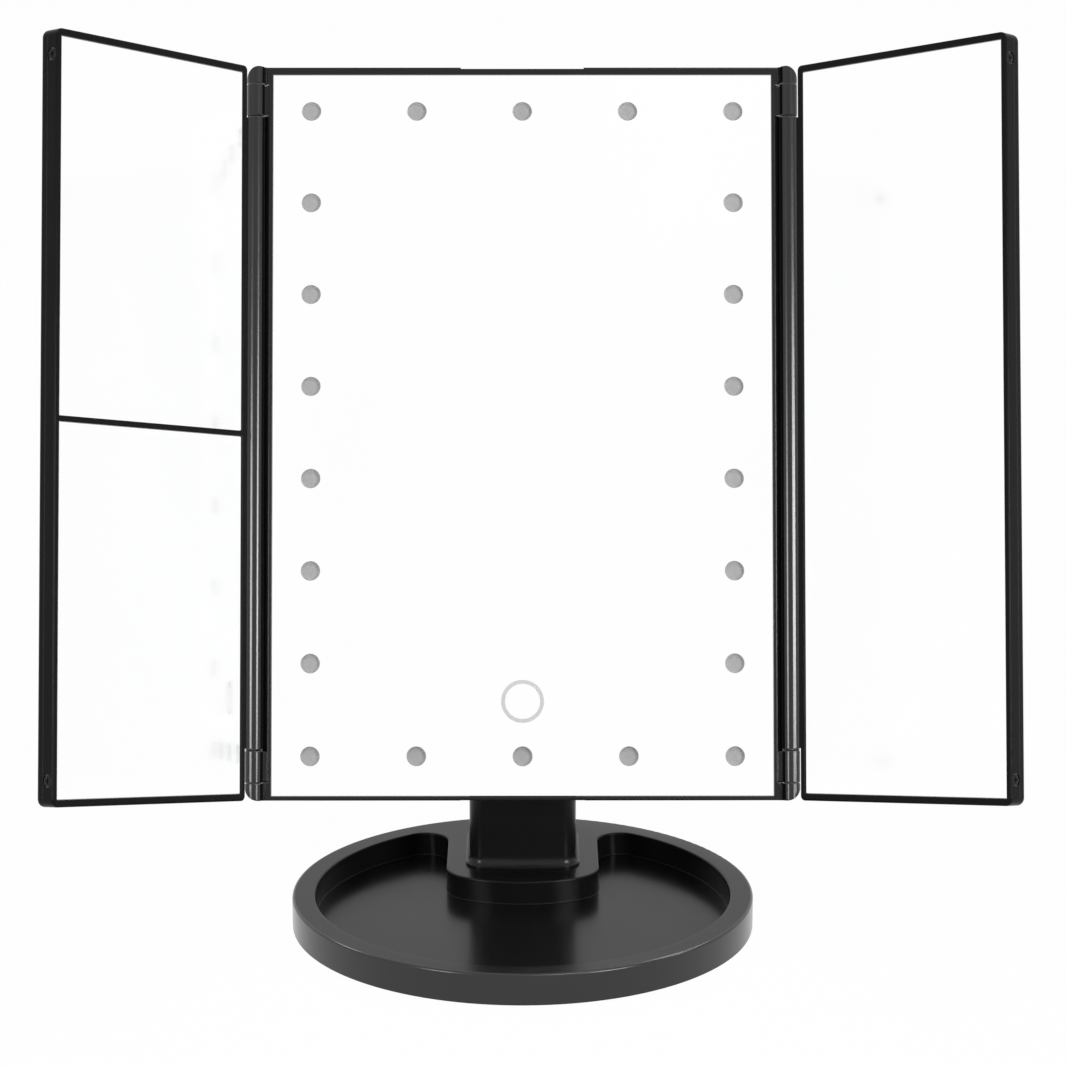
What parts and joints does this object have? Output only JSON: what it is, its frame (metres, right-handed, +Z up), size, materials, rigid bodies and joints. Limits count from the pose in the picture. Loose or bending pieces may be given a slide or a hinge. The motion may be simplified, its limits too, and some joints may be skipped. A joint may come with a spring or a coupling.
{
  "type": "folding makeup mirror",
  "caption": "Free-standing vanity mirror with folding side wings, a lit centre pane, a tilting post and a round tray base",
  "frame": {"origin": "centre of the round base, on the surface that the feet stand on", "axes": "+X to the viewer's right, +Y away from the viewer, +Z up"},
  "size_m": [0.3005, 0.151, 0.2909],
  "materials": {
    "black_plastic": "injection-moulded black plastic, satin",
    "mirror_glass": "back-silvered float glass, polished",
    "lamp_diffuser": "translucent frosted plastic",
    "lamp_chip": "white ceramic case with yellow phosphor",
    "foam_tape": "soft white foam tape",
    "circuit_board": "glass-fibre board with green mask",
    "zinc_steel": "zinc-plated steel",
    "spring_contact": "nickel-plated spring strip",
    "cell_wrap": "steel can in plain printed film",
    "friction_fibre": "pressed red fibre",
    "rubber": "soft black rubber"
  },
  "bodies": {
    "stand": {"rubber_feet": "rubber", "base_cover": "black_plastic", "base_screws": "zinc_steel", "base_tray": "black_plastic", "supply_board": "circuit_board", "inlet_socket": "zinc_steel", "switch_body": "black_plastic", "post_shell": "black_plastic", "post_screws": "zinc_steel", "battery_cells": "cell_wrap", "contact_leaves": "spring_contact", "contact_plates": "spring_contact", "tilt_bolt": "zinc_steel", "tilt_nut": "zinc_steel", "friction_washers": "friction_fibre", "pivot_plugs": "black_plastic"},
    "head": {"tilt_bracket": "black_plastic", "bracket_screws": "zinc_steel", "back_cover": "black_plastic", "cover_screws": "zinc_steel", "front_frame": "black_plastic", "lamp_board": "circuit_board", "lamp_chips": "lamp_chip", "lamp_lenses": "lamp_diffuser", "control_board": "circuit_board", "mirror_tape": "foam_tape", "middle_mirror": "mirror_glass", "touch_pad": "spring_contact", "touch_ring": "lamp_diffuser", "hinge_caps": "black_plastic", "hinge_pins": "zinc_steel"},
    "left_wing": {"left_wing_frame": "black_plastic", "left_wing_back": "black_plastic", "left_lower_mirror": "mirror_glass", "left_upper_mirror": "mirror_glass", "left_wing_tape": "foam_tape", "left_wing_screws": "zinc_steel"},
    "right_wing": {"right_wing_frame": "black_plastic", "right_wing_back": "black_plastic", "right_mirror": "mirror_glass", "right_wing_tape": "foam_tape", "right_wing_screws": "zinc_steel"},
    "battery_door": {"battery_door": "black_plastic"},
    "switch_knob": {"switch_knob": "black_plastic"}
  },
  "joints": [
    {"name": "head_tilt", "type": "hinge", "parent": "stand", "child": "head", "pos_m": [0, 0.029, 0.0861], "axis": [-1, 0, 0], "range_deg": [-16.6, 23.4]},
    {"name": "left_wing_fold", "type": "hinge", "parent": "head", "child": "left_wing", "pos_m": [-0.0865, 0.02667, 0.15879], "axis": [0, 0.2857, 0.9583], "range_deg": [-50, 130]},
    {"name": "right_wing_fold", "type": "hinge", "parent": "head", "child": "right_wing", "pos_m": [0.0865, 0.02667, 0.15879], "axis": [0, -0.2857, -0.9583], "range_deg": [-43.7, 136.3]},
    {"name": "battery_door_swing", "type": "hinge", "parent": "stand", "child": "battery_door", "pos_m": [0, 0.0546, 0.0165], "axis": [-1, 0, 0], "range_deg": [0, 90]},
    {"name": "switch_slide", "type": "slide", "parent": "stand", "child": "switch_knob", "axis": [1, 0, 0], "range_m": [0, 0.0022]}
  ]
}
